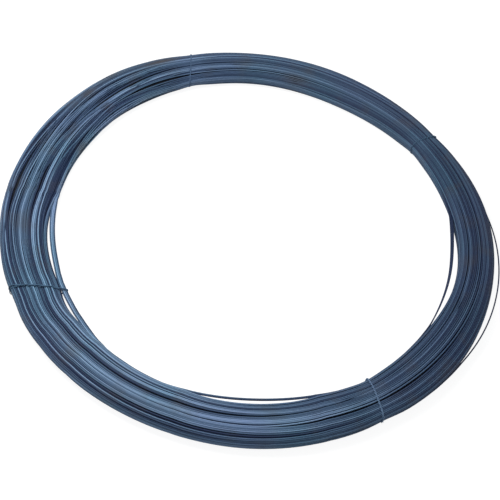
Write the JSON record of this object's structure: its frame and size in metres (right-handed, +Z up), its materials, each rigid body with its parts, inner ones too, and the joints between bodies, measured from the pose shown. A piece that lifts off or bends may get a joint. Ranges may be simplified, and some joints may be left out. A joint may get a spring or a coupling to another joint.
{
  "type": "coil of black annealed wire",
  "caption": "Flat round coil of thin soft annealed steel wire, wound in many turns round a wide open bore and held by twisted tie wires.",
  "frame": {"origin": "on the floor under the middle of the bore, at the level of the flat ring that the coil lies on", "axes": "+Z up, along the bore's axis; +X and +Y lie in the floor, with the ties at 41.5, 114.5, 211.5 and 307 degrees from +X towards +Y"},
  "size_m": [0.56, 0.5599, 0.0306],
  "materials": {
    "annealed_wire": "blue-black annealing scale, satin",
    "tie_wire": "blue-grey annealing scale, satin"
  },
  "bodies": {
    "root": {"wire_coil": "annealed_wire", "tie_wire_left": "tie_wire", "tie_wire_near_right": "tie_wire", "tie_wire_far_right": "tie_wire", "tie_wire_back": "tie_wire"}
  },
  "joints": []
}
